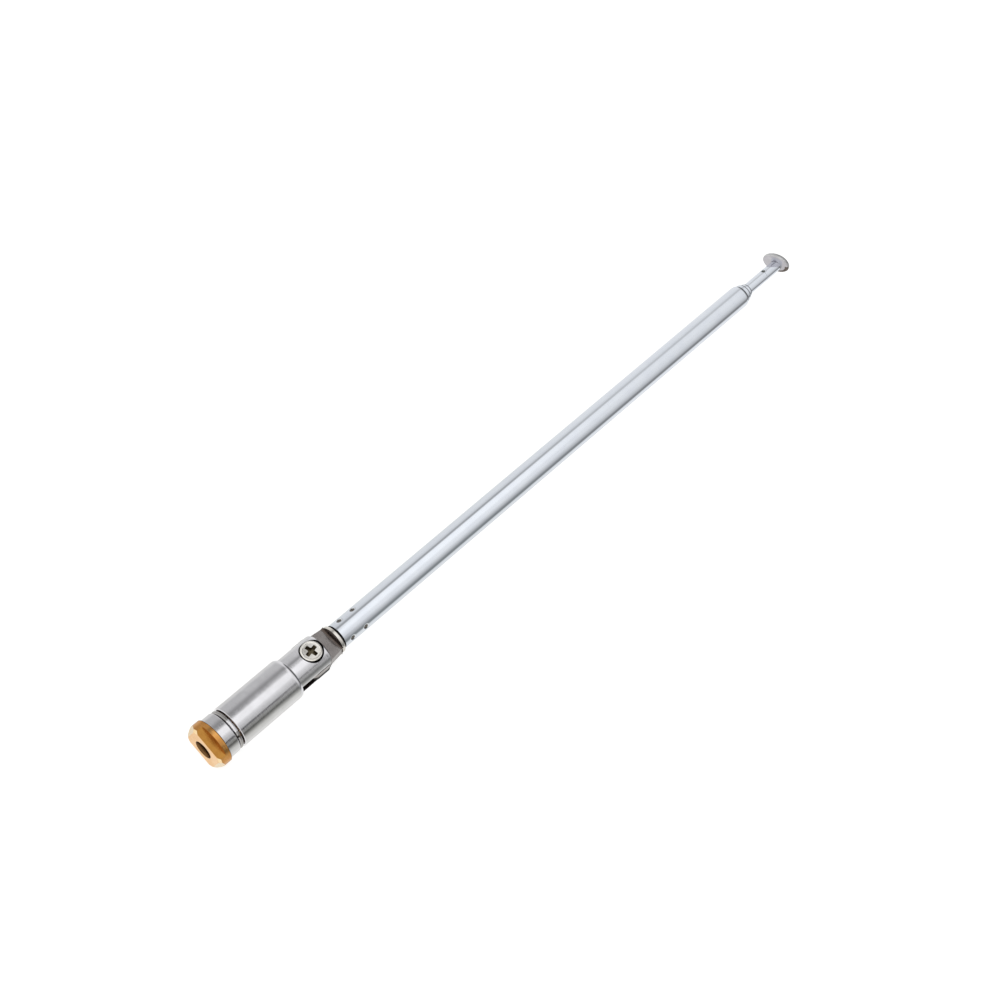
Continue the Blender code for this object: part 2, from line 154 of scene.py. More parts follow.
# Collar, ring and sleeve
COLLAR_END = 5.85
COLLAR_EDGES = (0.1, 0.18)
COLLAR_SPIGOT_RADIUS = 3.75
RING_WIRE_RADIUS = 0.5
RING_WIRE_SIDES = 24
RING_SPLIT_DEG = 7.0
RING_SPLIT_ELEVATION_DEG = 27.0
# The strip of the ring kept bright as a painted highlight: where it turns about the axis, and its
# half width
RING_HIGHLIGHT_TURN_DEG = 60.0
RING_HIGHLIGHT_HALF_DEG = 20.0
SLEEVE_BORE = 4.45
SLEEVE_EDGE = 0.15
SHOULDER_ROUND = 1.0
LIP_LENGTH = 0.5

# Fork, screw and knuckle
FORK_STEP = 23.45
EAR_CORNER = 1.8
EAR_EDGE = 0.5
SHANK_EDGE = 0.4
SLOT_START = 23.2
SLOT_WIDTH = 2.8
COUNTERBORE_RADIUS = 2.75
COUNTERBORE_FLOOR = 2.45
SCREW_HEAD_RADIUS = 2.42
SCREW_HEAD_BOTTOM = 2.85
SCREW_HEAD_TOP = 4.2
SCREW_EDGE = 0.1
SCREW_RIM_EDGE = 0.12
SCREW_UNDER_EDGE = 0.08
SCREW_TIP_EDGE = 0.2
DISH_RADIUS = SCREW_HEAD_RADIUS - 0.6
DISH_DEPTH = 0.16
DISH_CROWN = 0.12
DISH_STEPS = 8
SCREW_RADIUS = 1.25
SCREW_END = -3.7
SCREW_HOLE_RADIUS = 1.36
CROSS_LENGTH = 3.2
CROSS_WIDTH = 0.95
CROSS_DEPTH = 1.0
CROSS_TAPER = 0.62
CROSS_FILLET = 0.22
CROSS_CORNER = 0.2
CROSS_TURN_DEG = 10.0
TONGUE_THICKNESS = 2.5
TONGUE_BLANK = 3.4
TONGUE_END_RADIUS = 4.5
TONGUE_HALF_WIDTHS = (4.2, 3.6, 3.25)
TONGUE_REACHES = (1.6, 3.0, 6.3)
MILL_FILLET = 0.6
MILL_STEPS = 8
TONGUE_SHADE = 1.15  # width of the dark strip along the lower edge of the tongue's side
RIM_START = 37.0
RIM_RADIUS = 3.42
RIM_END = 37.8
RIM_EDGE = 0.2
RIM_ALLOWANCE = 0.1

# Tubes, rod and tip
TUBE_WALL = 0.25
TUBE_EDGE = 0.1
SEAM_EDGE = 0.08
MOUTH_LENGTH = 0.9
MOUTH_ROUNDS = (1.4, 0.5, 0.5)
DIMPLE_ALONG = (40.5, 44.5)
DIMPLE_TURNS_DEG = (5.0, 116.0, 240.0)
DIMPLE_RADIUS = 0.85
DIMPLE_DEPTH = 0.24
# The middle of each dimple, this share of its radius, is painted dark as shade
DIMPLE_DARK_SHARE = 0.72  # of the dimple's radius
DIMPLE_ZONE = (38.4, 46.0)
DIMPLE_STEPS = 92
DIMPLE_ROUND = 240
DENT_SLOPE = 0.6  # share of a dent's radius that slopes, round its flat floor
START_GROOVE = 0.5
START_GROOVE_DEPTH = 0.2
START_GROOVE_EDGE = 0.05
MOUTH_GROOVE = 0.16
ROD_HOLE_RADIUS = 1.1
ROD_HOLE_DEPTH = 3.5
ROD_SEAM_DEPTH = 0.07
CRIMP_OFFSET = 0.4
CRIMP_TURN_DEG = 106.0
CRIMP_RADIUS = 0.8
CRIMP_DEPTH = 0.3
CRIMP_DARK_SHARE = 0.7
CRIMP_ZONE = 1.2  # length on each side of the joint that is fine enough to dent
CRIMP_STEPS = (20, 16)  # in the rod and in the cap's stem
CRIMP_STEM_START = 0.2
CAP_FOOT = 202.2
CAP_RADIUS = 3.7
CAP_UNDERSIDE_RADIUS = 3.4
CAP_RIM = 0.5
CAP_EDGE = 0.7
CAP_CENTRE_MARK = 0.3
# The lower side of the cap's underside edge is painted dark as shade: its direction and the reach
# of that sector
CAP_LOW_SIDE = Vector((-0.8, -0.6))  # across and up
CAP_LOW_REACH = 0.72  # cosine of the dark sector's half width
CAP_DOME = 1.72
CAP_SEAT_DEPTH = 0.9
CAP_TILT_DEG = 25.0
CAP_TILT_ELEVATION_DEG = 59.0
CAP_OFFSET = (0.26, 0.15)


# ---------------------------------------------------------------- mesh tools


def rounded(outline, steps=4):
    """Round an outline's corners: a point's third value, if it has one, is its corner radius."""
    points = []
    for k, point in enumerate(outline):
        here = Vector(point[:2])
        if len(point) < 3:
            points.append(here)
            continue
        before = Vector(outline[k - 1][:2]) - here
        after = Vector(outline[(k + 1) % len(outline)][:2]) - here
        half = before.angle(after) / 2
        most = CORNER_SHARE * min(before.length, after.length)
        cut = min(point[2] / math.tan(half), most)
        radius = cut * math.tan(half)
        before.normalize()
        after.normalize()
        centre = here + (before + after).normalized() * radius / math.sin(half)
        start, end = here + before * cut - centre, here + after * cut - centre
        for step in range(steps + 1):
            share = step / steps
            spoke = start.lerp(end, share).normalized() * radius
            points.append(centre + spoke)
    return points


def arc(centre, radii, start_deg, end_deg, steps):
    """Points on an elliptical arc; 0 degrees points along +X, 90 outwards."""
    points = []
    for k in range(steps + 1):
        angle = math.radians(start_deg + (end_deg - start_deg) * k / steps)
        along = centre[0] + radii[0] * math.cos(angle)
        points.append((along, centre[1] + radii[1] * math.sin(angle)))
    return points


def turned(outline, sides=ROUND, matrix=None, angle=2 * math.pi, start=0.0):
    """A mesh turned about X from its outline of (along, radius) points."""
    bm = bmesh.new()
    first = Matrix.Rotation(start, 3, "X")
    corners = [bm.verts.new(first @ Vector((point[0], point[1], 0))) for point in outline]
    edges = []
    for here, there in zip(corners, corners[1:] + corners[:1]):
        if here.co.yz.length + there.co.yz.length > 0:
            edges.append(bm.edges.new((here, there)))
    whole = angle >= 2 * math.pi
    axis = {"cent": (0, 0, 0), "axis": (1, 0, 0), "angle": angle}
    spun = bmesh.ops.spin(bm, geom=edges, steps=sides, use_merge=whole, **axis)
    if not whole:
        bm.faces.new(corners)
        last = [item for item in spun["geom_last"] if isinstance(item, bmesh.types.BMVert)]
        bmesh.ops.contextual_create(bm, geom=last)
    bmesh.ops.remove_doubles(bm, verts=bm.verts, dist=WELD)
    if matrix:
        bmesh.ops.transform(bm, matrix=matrix, verts=bm.verts)
    return as_mesh(bm)


def prism(outline, low, high, matrix, taper=1.0):
    """A straight-sided solid from low to high; its outline at the low end is taper times as big."""
    bm = bmesh.new()
    base = [bm.verts.new((x * taper, y * taper, low)) for x, y in outline]
    top = [bm.verts.new((x, y, high)) for x, y in outline]
    bm.faces.new(base)
    bm.faces.new(top)
    count = len(outline)
    for k in range(count):
        after = (k + 1) % count
        bm.faces.new((base[k], base[after], top[after], top[k]))
    bmesh.ops.transform(bm, matrix=matrix, verts=bm.verts)
    return as_mesh(bm)


def as_mesh(bm):
    bmesh.ops.recalc_face_normals(bm, faces=bm.faces)
    mesh = bpy.data.meshes.new("part")
    bm.to_mesh(mesh)
    bm.free()
    return mesh


def combined(mesh, *steps):
    """The mesh after Boolean steps, each an operation and the mesh it uses."""
    scene = bpy.context.scene.collection
    body = bpy.data.objects.new("body", mesh)
    scene.objects.link(body)
    tools = []
    for operation, tool_mesh in steps:
        tool = bpy.data.objects.new("tool", tool_mesh)
        scene.objects.link(tool)
        tools.append(tool)
        step = body.modifiers.new("step", "BOOLEAN")
        step.solver = "EXACT"
        step.operation = operation
        step.object = tool
    bpy.context.view_layer.update()
    evaluated = body.evaluated_get(bpy.context.evaluated_depsgraph_get())
    result = bpy.data.meshes.new_from_object(evaluated)
    for used in (body, *tools):
        bpy.data.objects.remove(used, do_unlink=True)
    return result


def sliced(mesh, matrix, height):
    """The mesh with edges added where the matrix's XY plane, moved up by height, crosses it."""
    bm = bmesh.new()
    bm.from_mesh(mesh)
    normal = matrix.to_3x3() @ Vector((0, 0, 1))
    parts = [*bm.verts, *bm.edges, *bm.faces]
    point = matrix @ Vector((0, 0, height))
    bmesh.ops.bisect_plane(bm, geom=parts, plane_co=point, plane_no=normal)
    return as_mesh(bm)


def piece(name, mesh, node, material, *areas):
    """Put a mesh in the row frame as a piece that stands for a CAD node.

    Each area is another material and a test of a face's centre and normal that picks its faces.
    """
    bm = bmesh.new()
    bm.from_mesh(mesh)
    bmesh.ops.remove_doubles(bm, verts=bm.verts, dist=2 * WELD)
    bm.normal_update()
    picked = []
    for face in bm.faces:
        centre = face.calc_center_median()
        tests = [k for k, (_, test) in enumerate(areas, 1) if test(centre, face.normal)]
        picked.append(tests[0] if tests else 0)
    bmesh.ops.transform(bm, matrix=PLACE, verts=bm.verts)
    bm.to_mesh(mesh)
    bm.free()
    mesh.name = name
    mesh.shade_smooth()
    mesh.set_sharp_from_angle(angle=SMOOTH_ANGLE)
    mesh.materials.clear()
    for used in (material, *(area[0] for area in areas)):
        mesh.materials.append(used)
    mesh.polygons.foreach_set("material_index", picked)
    made = bpy.data.objects.new(name, mesh)
    bpy.context.scene.collection.objects.link(made)
    normals = made.modifiers.new("weighted_normals", "WEIGHTED_NORMAL")
    normals.keep_sharp = True
    normals.weight = FACE_WEIGHT
    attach(made, frame["nodes"][node]["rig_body"])
    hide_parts(node)
    return made


def on_surface(along, turn_deg, radius):
    """The point on a tube at a station and a turn about the axis, from -Y towards +Z."""
    turn = math.radians(turn_deg)
    return Vector((along, -radius * math.cos(turn), radius * math.sin(turn)))


def dent(mesh, centre, radius, depth):
    """Press a round dent towards the axis into a turned mesh."""
    for vertex in mesh.vertices:
        distance = (vertex.co - centre).length / radius
        if distance < 1:
            share = min(1.0, (1 - distance) / DENT_SLOPE)
            fall = share * share * (3 - 2 * share)
            inward = Vector((0, vertex.co.y, vertex.co.z)).normalized()
            vertex.co -= inward * depth * fall


SLOTS = {entry["node"]: entry["material_slot"] for entry in frame["record"]["subparts"]}


# ---------------------------------------------------------------- materials


class Graph:
    """A material's or world's node tree, with short calls for its nodes and links."""

    def __init__(self, owner):
        owner.use_nodes = True
        self.tree = owner.node_tree
        self.tree.nodes.clear()

    def add(self, kind, **values):
        node = self.tree.nodes.new(kind)
        for key, value in values.items():
            if hasattr(node, key):
                setattr(node, key, value)
            else:
                node.inputs[key].default_value = value
        return node

    def link(self, source, target):
        self.tree.links.new(source, target)

    def math(self, operation, *inputs):
        node = self.add("ShaderNodeMath", operation=operation)
        for socket, value in zip(node.inputs, inputs):
            if isinstance(value, (int, float)):
                socket.default_value = value
            else:
                self.link(value, socket)
        return node.outputs[0]

    def noise(self, scale, detail=3.0, stretch=(1, 1, 1)):
        """Noise over the object's own coordinates; scale is in features per mm."""
        coordinates = self.add("ShaderNodeTexCoord")
        mapping = self.add("ShaderNodeMapping")
        mapping.inputs["Scale"].default_value = stretch
        node = self.add("ShaderNodeTexNoise", Scale=scale / MM, Detail=detail)
        self.link(coordinates.outputs["Object"], mapping.inputs["Vector"])
        self.link(mapping.outputs[0], node.inputs["Vector"])
        return node.outputs[0]

    def ramp(self, source, stops, interpolation="LINEAR"):
        node = self.add("ShaderNodeValToRGB")
        node.color_ramp.interpolation = interpolation
        elements = node.color_ramp.elements
        while len(elements) < len(stops):
            elements.new(0.5)
        for element, (position, colour) in zip(elements, stops):
            element.position = position
            if isinstance(colour, (int, float)):
                colour = (colour, colour, colour)
            element.color = (*colour, 1.0)
        self.link(source, node.inputs[0])
        return node.outputs[0]

    def mix(self, factor, first, second):
        node = self.add("ShaderNodeMix", data_type="RGBA")
        sockets = (node.inputs[0], node.inputs[6], node.inputs[7])
        for socket, value in zip(sockets, (factor, first, second)):
            if isinstance(value, tuple):
                socket.default_value = (*value, 1.0)
            elif isinstance(value, (int, float)):
                socket.default_value = value
            else:
                self.link(value, socket)
        return node.outputs[2]


# Surface patterns: noise scales are in features per mm, ranges are of the noise's value
CLOUD_SCALE = 0.35
CLOUD_RANGE = (0.35, 0.65)
TURNING_SCALE = 1.0
TURNING_STRETCH = (9.0, 0.35, 0.35)
TURNING_RANGE = (0.3, 0.7)
GRAIN_SCALE = 6.0
# Ambient occlusion values over which the painted crevice shade fades out
OCCLUSION_SHADE_RANGE = (0.12, 0.5)
ROUGHNESS_SPREAD = (0.8, 1.25)


def metal(name, colour, shade, occlusion_shade, roughness, lines=0.0, grain=0.0, occlusion_reach=0.6):
    """A metal with tone variation, turning lines, fine grain and shade painted into its crevices.

    Lines and grain are heights in mm, and the last argument is how far from a corner that painted
    crevice shade reaches.
    """
    made = bpy.data.materials.new(name)
    graph = Graph(made)
    output = graph.add("ShaderNodeOutputMaterial")
    shader = graph.add("ShaderNodeBsdfPrincipled", Metallic=1.0)
    graph.link(shader.outputs[0], output.inputs[0])

    cloud = graph.noise(CLOUD_SCALE, 4.0)
    tone = graph.ramp(cloud, [(CLOUD_RANGE[0], 0.0), (CLOUD_RANGE[1], 1.0)])
    toned = graph.mix(tone, shade, colour)
    # Painted shade: where ambient occlusion finds a crevice, the colour darkens towards the third
    # colour
    crevice = graph.add("ShaderNodeAmbientOcclusion", samples=6, Distance=occlusion_reach * MM)
    occluded = graph.ramp(crevice.outputs["AO"], [(OCCLUSION_SHADE_RANGE[0], 1.0), (OCCLUSION_SHADE_RANGE[1], 0.0)])
    graph.link(graph.mix(occluded, toned, occlusion_shade), shader.inputs["Base Color"])

    turning = graph.noise(TURNING_SCALE, 5.0, TURNING_STRETCH)
    finest, coarsest = (roughness * times for times in ROUGHNESS_SPREAD)
    spread = graph.ramp(turning, [(TURNING_RANGE[0], finest), (TURNING_RANGE[1], coarsest)])
    graph.link(spread, shader.inputs["Roughness"])
    if lines or grain:
        height = graph.math("MULTIPLY", turning, lines)
        speckle = graph.math("MULTIPLY", graph.noise(GRAIN_SCALE, 2.0), grain)
        bump = graph.add("ShaderNodeBump", Strength=1.0, Distance=MM)
        graph.link(graph.math("ADD", height, speckle), bump.inputs["Height"])
        graph.link(bump.outputs[0], shader.inputs["Normal"])
    return made


CHROME = metal(
    "bright_chrome",
    (0.85, 0.89, 0.95),
    (0.82, 0.86, 0.93),
    (0.06, 0.06, 0.07),
    roughness=0.09, occlusion_reach=0.35,
)
SATIN = metal(
    "satin_steel",
    (0.86, 0.855, 0.885),
    (0.8, 0.795, 0.82),
    (0.03, 0.026, 0.024),
    roughness=0.11, lines=0.01, occlusion_reach=0.4,
)
NICKEL = metal(
    "dull_nickel",
    (0.38, 0.355, 0.345),
    (0.31, 0.285, 0.275),
    (0.025, 0.018, 0.014),
    roughness=0.22, grain=0.01,
)
# Painted highlight: a lighter copy of the nickel for the knuckle's rim
RIM_HIGHLIGHT = metal(
    "rim_nickel_painted_highlight",
    (0.86, 0.83, 0.78),
    (0.78, 0.74, 0.68),
    (0.05, 0.04, 0.03),
    roughness=0.16, lines=0.01,
)
# Painted shade: dark nickel for the knuckle's milled wall and the lower side of the cap's underside
# edge
BROWN_SHADE = metal(
    "nickel_painted_shade",
    (0.15, 0.12, 0.105),
    (0.09, 0.07, 0.06),
    (0.01, 0.008, 0.007),
    roughness=0.28, lines=0.01,
)
# Painted shade in the middle of the crimp's dent
CRIMP_SHADE = metal(
    "crimp_steel_painted_shade",
    (0.2, 0.215, 0.2),
    (0.13, 0.14, 0.13),
    (0.02, 0.02, 0.02),
    roughness=0.3, grain=0.01,
)
SHADE = metal(
    "slot_shade",
    (0.05, 0.04, 0.033),
    (0.035, 0.028, 0.024),
    (0.008, 0.007, 0.006),
    roughness=0.4, grain=0.01,
)
# Painted shade: near black in the tube grooves, the counterbore, the side of the screw head and the
# tongue's lower edge
GROOVE_SHADE = metal(
    "groove_painted_shade",
    (0.018, 0.016, 0.016),
    (0.01, 0.009, 0.009),
    (0.004, 0.004, 0.004),
    roughness=0.45, grain=0.01,
)
# Painted shade in the middle of each dimple
DIMPLE_SHADE = metal(
    "dimple_chrome_painted_shade",
    (0.2, 0.185, 0.17),
    (0.14, 0.13, 0.12),
    (0.07, 0.06, 0.05),
    roughness=0.22, occlusion_reach=0.35,
)
CAP = metal(
    "grey_nickel",
    (0.55, 0.54, 0.58),
    (0.47, 0.46, 0.49),
    (0.05, 0.045, 0.04),
    roughness=0.13, grain=0.006,
)
SCREW = metal(
    "plated_screw",
    (0.97, 0.95, 0.91),
    (0.88, 0.85, 0.79),
    (0.3, 0.26, 0.2),
    roughness=0.3, grain=0.012, occlusion_reach=0.2,
)
# Painted shade in the screw's cross recess
CROSS_SHADE = metal(
    "cross_recess_painted_shade",
    (0.2, 0.17, 0.115),
    (0.14, 0.115, 0.075),
    (0.06, 0.048, 0.03),
    roughness=0.4, grain=0.02,
)
BRASS = metal(
    "machined_brass",
    (0.93, 0.6, 0.3),
    (0.85, 0.49, 0.19),
    (0.16, 0.07, 0.015),
    roughness=0.22, lines=0.02,
)
# Painted shade: a darker, deeper orange copy of the brass for the flange's side
FLANGE_SHADE = metal(
    "flange_brass_painted_shade",
    (0.8, 0.4, 0.12),
    (0.62, 0.27, 0.065),
    (0.14, 0.06, 0.015),
    roughness=0.2, lines=0.02,
)
# Painted shade: a darker copy of the brass for the flats
FLAT_SHADE = metal(
    "flat_brass_painted_shade",
    (0.52, 0.25, 0.055),
    (0.4, 0.18, 0.035),
    (0.34, 0.155, 0.035),
    roughness=0.2, lines=0.03,
)
# Painted shade: a dark copy of the brass inside the threaded hole
THREAD_SHADE = metal(
    "thread_brass_painted_shade",
    (0.2, 0.105, 0.04),
    (0.1, 0.05, 0.02),
    (0.012, 0.006, 0.003),
    roughness=0.3, lines=0.01,
)
# Painted highlight: a lighter copy of the brass for the bevels
BEVEL_HIGHLIGHT = metal(
    "bevel_brass_painted_highlight",
    (1.0, 0.8, 0.5),
    (0.97, 0.72, 0.4),
    (0.2, 0.1, 0.03),
    roughness=0.16, lines=0.01,
)
WIRE = metal(
    "dull_wire",
    (0.44, 0.43, 0.425),
    (0.36, 0.35, 0.34),
    (0.03, 0.026, 0.024),
    roughness=0.24, grain=0.01,
)
# A rougher satin nickel for the cap's dome, also painted lighter than the underside as a highlight
DOME_HIGHLIGHT = metal(
    "satin_dome_painted_highlight",
    (0.74, 0.75, 0.76),
    (0.62, 0.62, 0.63),
    (0.05, 0.045, 0.04),
    roughness=0.55, grain=0.006,
)
BRONZE = metal(
    "spring_bronze",
    (0.7, 0.42, 0.24),
    (0.6, 0.36, 0.2),
    (0.08, 0.04, 0.02),
    roughness=0.3, lines=0.01,
)
FINISHES = {
    "brass": BRASS,
    "satin_steel": SATIN,
    "nickel": NICKEL,
    "chrome": CHROME,
    "screw_steel": SCREW,
    "spring_bronze": BRONZE,
}


# ---------------------------------------------------------------- base


def thread_ridge(start, end):
    """The thread between two stations: a ridge wound inside the hole, sunk into it at both ends."""
    steps = round((end - start) / THREAD_PITCH * THREAD_STEPS)
    fade_steps = THREAD_STEPS / 4
    flank = THREAD_PITCH * THREAD_FLANK_SHARE
    crest = THREAD_PITCH * THREAD_CREST_SHARE
    root = THREAD_RADIUS + THREAD_SINK
    bm = bmesh.new()
    loops = []
    for step in range(steps + 1):
        turn = 2 * math.pi * step / THREAD_STEPS
        along = start + THREAD_PITCH * step / THREAD_STEPS
        fade = min(1.0, step / fade_steps, (steps - step) / fade_steps)
        height = THREAD_END_SHARE + (1 - THREAD_END_SHARE) * fade
        tip = root + (THREAD_CREST_RADIUS - root) * height
        section = [(-flank, root), (-crest, tip), (crest, tip), (flank, root)]
        loop = []
        for offset, radius in section:
            across, up = radius * math.cos(turn), radius * math.sin(turn)
            loop.append(bm.verts.new((along + offset, across, up)))
        loops.append(loop)
    for here, there in zip(loops, loops[1:]):
        for k in range(4):
            after = (k + 1) % 4
            bm.faces.new((here[k], here[after], there[after], there[k]))
    bm.faces.new(loops[0])
    bm.faces.new(loops[-1])
    return as_mesh(bm)


def threaded_insert():
    end = span("threaded_insert")[1]
    mouth_depth = THREAD_MOUTH_RADIUS - THREAD_CREST_RADIUS
    outline = [
        (0, THREAD_MOUTH_RADIUS, THREAD_MOUTH_EDGE),
        (0, FACE_RADIUS, INSERT_EDGE),
        (FACE_CHAMFER, FLANGE_RADIUS, INSERT_EDGE),
        (FLANGE_END, FLANGE_RADIUS, FLANGE_EDGE),
        (FLANGE_END, SHANK_RADIUS),
        (end - SWAGE_LENGTH, SHANK_RADIUS),
        (end - SWAGE_LENGTH, SWAGE_RADIUS, SWAGE_EDGES[0]),
        (end, SWAGE_RADIUS, SWAGE_EDGES[1]),
        (end, 0),
        (THREAD_DEPTH + DRILL_POINT, 0),
        (THREAD_DEPTH, THREAD_RADIUS),
        (mouth_depth, THREAD_RADIUS),
    ]
    blank = turned(rounded(outline))
    clear = 2 * FLANGE_RADIUS
    flat = [(-1, FLAT_DISTANCE - 1 - INSERT_EDGE), (0, FLAT_DISTANCE - INSERT_EDGE)]
    flat += [(INSERT_EDGE, FLAT_DISTANCE), (FLAT_LENGTH, FLAT_DISTANCE)]
    flat += [(FLAT_LENGTH, clear), (-1, clear)]
    slope = (FLANGE_RADIUS - BEVEL_DISTANCE) / BEVEL_LENGTH
    low, high = -1, 2 * BEVEL_LENGTH
    bevel = [(low, BEVEL_DISTANCE + slope * low), (high, BEVEL_DISTANCE + slope * high)]
    bevel += [(high, clear), (low, clear)]
    cuts = []
    for turns, waste in ((FLAT_TURNS_DEG, flat), (BEVEL_TURNS_DEG, bevel)):
        for turn_deg in turns:
            turn = Matrix.Rotation(math.radians(turn_deg), 4, "X")
            cuts.append(("DIFFERENCE", prism(waste, -clear, clear, turn)))
    ridge = thread_ridge(mouth_depth + THREAD_RUN_IN, THREAD_DEPTH - THREAD_RUN_OUT)
    mesh = combined(blank, *cuts, ("UNION", ridge))
    across_flats = Vector((0, 1, 0))
    across_flats.rotate(Matrix.Rotation(math.radians(FLAT_TURNS_DEG[0]), 3, "X"))

    # The inside of the threaded hole is painted dark as shade
    def in_thread(centre, normal):
        return centre.x > TOUCH and centre.yz.length < THREAD_MOUTH_RADIUS

    # The flats are painted darker as shade
    def on_flat(centre, normal):
        flat_side = abs(normal.dot(across_flats)) > 0.98 and abs(normal.x) < 0.1
        at_end = abs(centre.x - FLAT_LENGTH) < TOUCH and centre.yz.length > FLAT_DISTANCE
        outside = centre.x < FLAT_LENGTH + TOUCH and centre.yz.length > SHANK_RADIUS + 0.5
        return outside and (flat_side or at_end)

    # The bevels are painted lighter as a highlight
    def on_bevel(centre, normal):
        sloped = 0.3 < abs(normal.x) < 0.95
        return sloped and 2 * TOUCH < centre.x < BEVEL_LENGTH and centre.yz.length > 4.0

    # The flange's side is painted darker as shade
    def on_flange(centre, normal):
        return centre.x > 1.0 and abs(normal.x) < 0.6 and centre.yz.length > FLANGE_RADIUS - 0.3

    def on_back_edge(centre, normal):
        at_back = FLANGE_END - 0.2 < centre.x < FLANGE_END + TOUCH
        return at_back and centre.yz.length > SLEEVE_RADIUS

    areas = [(THREAD_SHADE, in_thread), (FLAT_SHADE, on_flat), (SHADE, on_back_edge)]
    areas += [(BEVEL_HIGHLIGHT, on_bevel), (FLANGE_SHADE, on_flange)]
    piece("brass_insert", mesh, "threaded_insert", BRASS, *areas)


def base_collar():
    start, end = span("base_collar")
    outline = [
        (start, SHANK_RADIUS + GAP),
        (start, SLEEVE_RADIUS, COLLAR_EDGES[0]),
        (COLLAR_END, SLEEVE_RADIUS, COLLAR_EDGES[1]),
        (COLLAR_END, COLLAR_SPIGOT_RADIUS),
        (end, COLLAR_SPIGOT_RADIUS),
        (end, SHANK_RADIUS + GAP),
    ]
    piece("steel_collar", turned(rounded(outline)), "base_collar", SATIN)


def swivel_ring():
    start, end = span("swivel_ring")
    radius = half_width("swivel_ring") - RING_WIRE_RADIUS
    centre = ((start + end) / 2, radius)
    wire = arc(centre, (RING_WIRE_RADIUS, RING_WIRE_RADIUS), 0, 360, RING_WIRE_SIDES)[:-1]
    gap = math.radians(RING_SPLIT_DEG)
    middle = math.pi - math.radians(RING_SPLIT_ELEVATION_DEG)
    mesh = turned(wire, ROUND, None, 2 * math.pi - gap, middle + gap / 2)

    # Painted highlight: a strip about the axis keeps the bright satin, and the rest of the ring is
    # dull wire
    def off_highlight_strip(centre, normal):
        around = math.degrees(math.atan2(centre.z, -centre.y))
        return abs(around - RING_HIGHLIGHT_TURN_DEG) > RING_HIGHLIGHT_HALF_DEG

    piece("split_wire_ring", mesh, "swivel_ring", SATIN, (WIRE, off_highlight_strip))


def outer_sleeve():
    start, end = span("outer_sleeve")
    lip = NECK_RADIUS + GAP
    centre = (end - SHOULDER_ROUND, lip)
    outline = [
        (start, SLEEVE_BORE),
        (start, SLEEVE_RADIUS, SLEEVE_EDGE),
        *arc(centre, (SHOULDER_ROUND, SLEEVE_RADIUS - lip), 90, 0, ARC_STEPS),
        (end - LIP_LENGTH, lip),
        (end - LIP_LENGTH, SLEEVE_BORE),
    ]
    piece("satin_sleeve", turned(rounded(outline)), "outer_sleeve", SATIN)


# ---------------------------------------------------------------- fold


def fork():
    start, tip = span("fork")
    outline = [
        (start, 0),
        (start, SLEEVE_BORE - GAP, SHANK_EDGE),
        (FORK_STEP, SLEEVE_BORE - GAP),
        (FORK_STEP, NECK_RADIUS),
        (tip, NECK_RADIUS, EAR_EDGE),
        (tip, 0),
    ]
    body = turned(rounded(outline))
    clear = 2 * NECK_RADIUS
    half = SLOT_WIDTH / 2
    slot = [(SLOT_START - PIVOT_ALONG, -clear), (clear, -clear), (clear, clear)]
    slot.append((SLOT_START - PIVOT_ALONG, clear))
    reach, side = tip - PIVOT_ALONG - EAR_CORNER, NECK_RADIUS - EAR_CORNER
    ears = [
        (reach, clear),
        *arc((reach, side), (EAR_CORNER, EAR_CORNER), 90, 0, ARC_STEPS),
        *arc((reach, -side), (EAR_CORNER, EAR_CORNER), 0, -90, ARC_STEPS),
        (reach, -clear),
        (clear, -clear),
        (clear, clear),
    ]
    hole = [(-clear, 0), (-clear, SCREW_HOLE_RADIUS)]
    hole += [(COUNTERBORE_FLOOR, SCREW_HOLE_RADIUS), (COUNTERBORE_FLOOR, COUNTERBORE_RADIUS)]
    hole += [(clear, COUNTERBORE_RADIUS), (clear, 0)]
    mesh = combined(
        body,
        ("DIFFERENCE", prism(slot, -half, half, ROLL_FRAME)),
        ("DIFFERENCE", prism(ears, -clear, clear, ROLL_FRAME)),
        ("DIFFERENCE", turned(hole, HOLE_ROUND, PIVOT_FRAME)),
    )
    to_roll = ROLL_FRAME.inverted()

    def in_slot(centre, normal):
        return abs((to_roll @ centre).z) < half + TOUCH / 2 and centre.x > SLOT_START - TOUCH

    # The counterbore is painted near black as shade
    def in_counterbore(centre, normal):
        local = to_roll @ centre
        return local.xy.length < COUNTERBORE_RADIUS + TOUCH and local.z > 0

    piece("forked_neck", mesh, "fork", SATIN, (SHADE, in_slot), (GROOVE_SHADE, in_counterbore))


def cross_outline():
    half, reach = CROSS_WIDTH / 2, CROSS_LENGTH / 2
    corners = []
    for quarter in range(4):
        turn = Matrix.Rotation(math.radians(90 * quarter + CROSS_TURN_DEG), 2)
        corners.append((*(turn @ Vector((reach, -half))), CROSS_CORNER))
        corners.append((*(turn @ Vector((reach, half))), CROSS_CORNER))
        corners.append((*(turn @ Vector((half, half))), CROSS_FILLET))
    return [tuple(point) for point in rounded(corners)]


